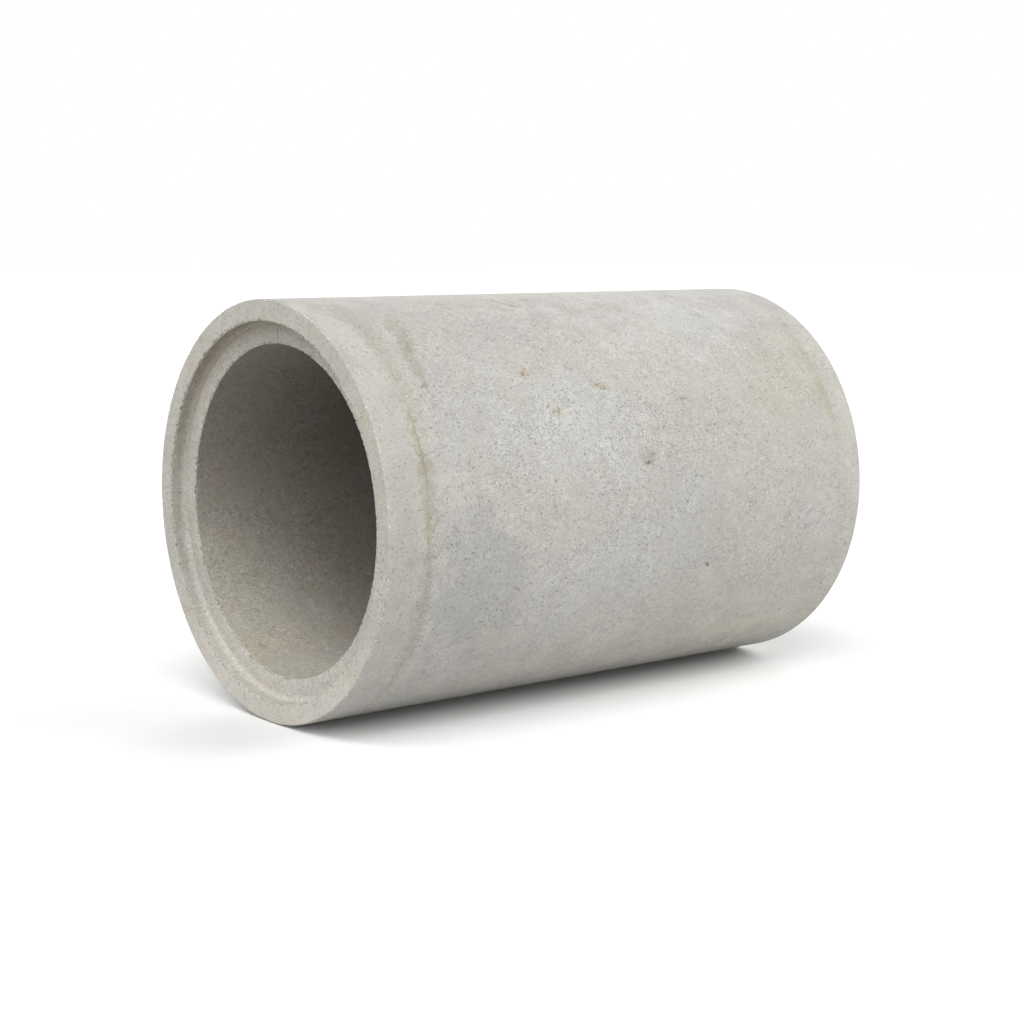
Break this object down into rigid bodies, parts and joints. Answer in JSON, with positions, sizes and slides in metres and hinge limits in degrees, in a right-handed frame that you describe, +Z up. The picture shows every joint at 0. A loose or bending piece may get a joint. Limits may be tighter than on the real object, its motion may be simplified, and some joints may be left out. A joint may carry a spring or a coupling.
{
  "type": "concrete sewer pipe",
  "caption": "Short precast concrete sewer pipe with a rebated groove in one end and a matching tongue on the other, lying on its side.",
  "frame": {"origin": "on the floor, under the middle of the pipe's overall length, tongue included; the pipe's axis is 332.5 mm above it", "axes": "+X along the pipe's axis, from the groove end towards the tongue end; +Z up from the floor; +Y across the pipe"},
  "size_m": [1.023, 0.665, 0.6649],
  "materials": {
    "concrete": "matte"
  },
  "bodies": {
    "root": {"pipe": "concrete"}
  },
  "joints": []
}
